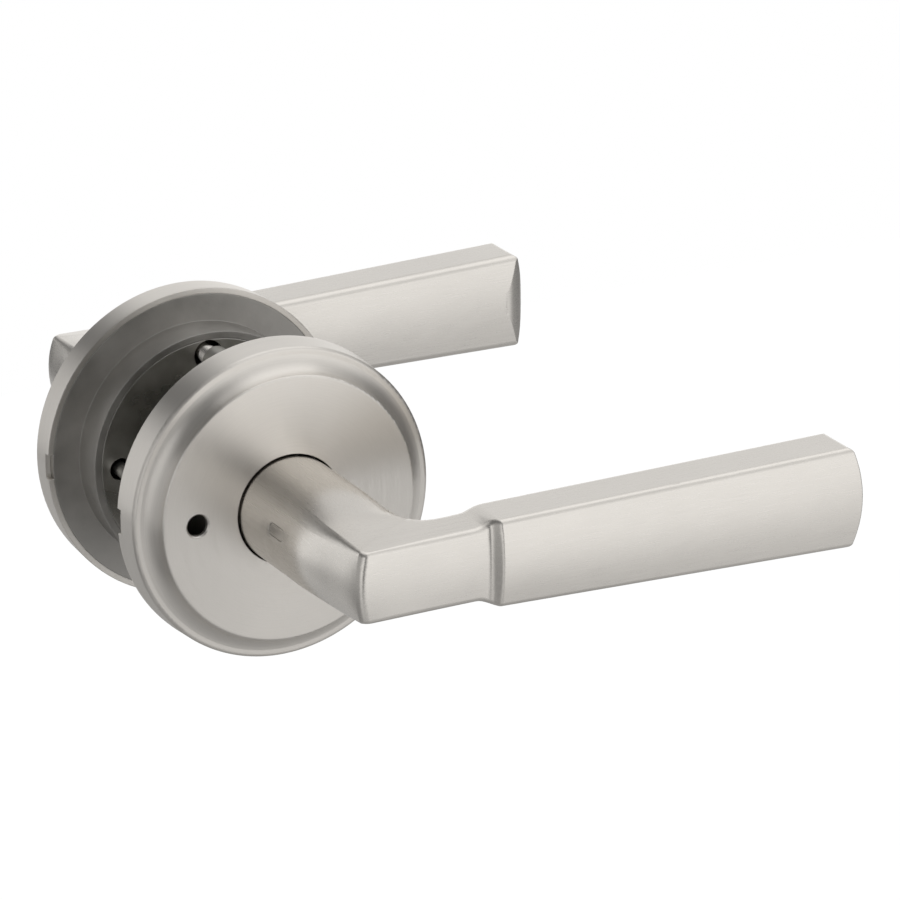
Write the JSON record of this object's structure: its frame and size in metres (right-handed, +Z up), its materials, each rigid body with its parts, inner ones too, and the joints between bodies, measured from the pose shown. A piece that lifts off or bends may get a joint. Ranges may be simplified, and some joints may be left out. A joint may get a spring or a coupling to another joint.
{
  "type": "door lever set",
  "caption": "Privacy door lever set in satin nickel: two round stepped roses with straight levers on one spindle, push button inside, emergency release hole outside.",
  "frame": {"origin": "centre of the door's cross bore: on the spindle axis, midway between the two roses' seats", "axes": "+X towards the levers' tips (hinge side of the door), +Y along the spindle towards the interior half, +Z up"},
  "size_m": [0.1382, 0.1576, 0.067],
  "materials": {
    "satin_nickel_rose": "satin nickel plate, spun in circles",
    "satin_nickel_lever": "satin nickel plate, brushed lengthwise",
    "satin_nickel_trim": "satin nickel plate",
    "zinc_casting": "as-cast zinc alloy",
    "plated_steel": "clear zinc-plated steel",
    "spring_steel": "oiled spring steel",
    "nylon": "black moulded nylon"
  },
  "bodies": {
    "chassis": {"exterior_rose": "satin_nickel_rose", "exterior_liner": "zinc_casting", "exterior_bushing": "nylon", "exterior_return_spring": "spring_steel", "exterior_spring_cover": "plated_steel", "mounting_posts": "plated_steel", "interior_rose": "satin_nickel_rose", "interior_liner": "zinc_casting", "interior_bushing": "nylon", "interior_return_spring": "spring_steel", "interior_spring_cover": "plated_steel", "mounting_screws": "satin_nickel_trim", "button_guide": "nylon", "button_spring": "spring_steel"},
    "exterior_handle": {"exterior_lever": "satin_nickel_lever", "exterior_hub": "plated_steel", "exterior_cam": "plated_steel", "exterior_retaining_ring": "spring_steel", "exterior_catch_spring": "spring_steel", "spindle": "plated_steel", "spindle_pin": "plated_steel"},
    "interior_handle": {"interior_lever": "satin_nickel_lever", "interior_hub": "plated_steel", "interior_cam": "plated_steel", "interior_retaining_ring": "spring_steel", "interior_catch_spring": "spring_steel"},
    "exterior_catch": {"exterior_lever_catch": "satin_nickel_trim"},
    "interior_catch": {"interior_lever_catch": "satin_nickel_trim"},
    "button": {"push_button": "satin_nickel_trim", "lock_rod": "plated_steel"}
  },
  "joints": [
    {"name": "exterior_lever_turn", "type": "hinge", "parent": "chassis", "child": "exterior_handle", "pos_m": [0, 0, 0], "axis": [0, 1, 0], "range_deg": [-45, 45], "stiffness_Nm_per_rad": 1.6, "springref_deg": -4.58, "deforming": ["exterior_return_spring"]},
    {"name": "interior_lever_turn", "type": "hinge", "parent": "chassis", "child": "interior_handle", "pos_m": [0, 0, 0], "axis": [0, 1, 0], "range_deg": [-45, 45], "stiffness_Nm_per_rad": 1.6, "springref_deg": -4.58, "deforming": ["interior_return_spring"]},
    {"name": "button_push", "type": "slide", "parent": "chassis", "child": "button", "axis": [0, -1, 0], "range_m": [0, 0.00275], "stiffness_N_per_m": 300, "springref_m": -0.003, "deforming": ["button_spring"]},
    {"name": "exterior_catch_press", "type": "slide", "parent": "exterior_handle", "child": "exterior_catch", "axis": [0.9744, 0, -0.225], "range_m": [0, 0.0034], "stiffness_N_per_m": 400, "springref_m": -0.002, "deforming": ["exterior_catch_spring"]},
    {"name": "interior_catch_press", "type": "slide", "parent": "interior_handle", "child": "interior_catch", "axis": [0.2756, 0, -0.9613], "range_m": [0, 0.0034], "stiffness_N_per_m": 400, "springref_m": -0.002, "deforming": ["interior_catch_spring"]}
  ],
  "couplings": [
    {"joint": "interior_lever_turn", "follows": "exterior_lever_turn", "ratio": 1}
  ]
}
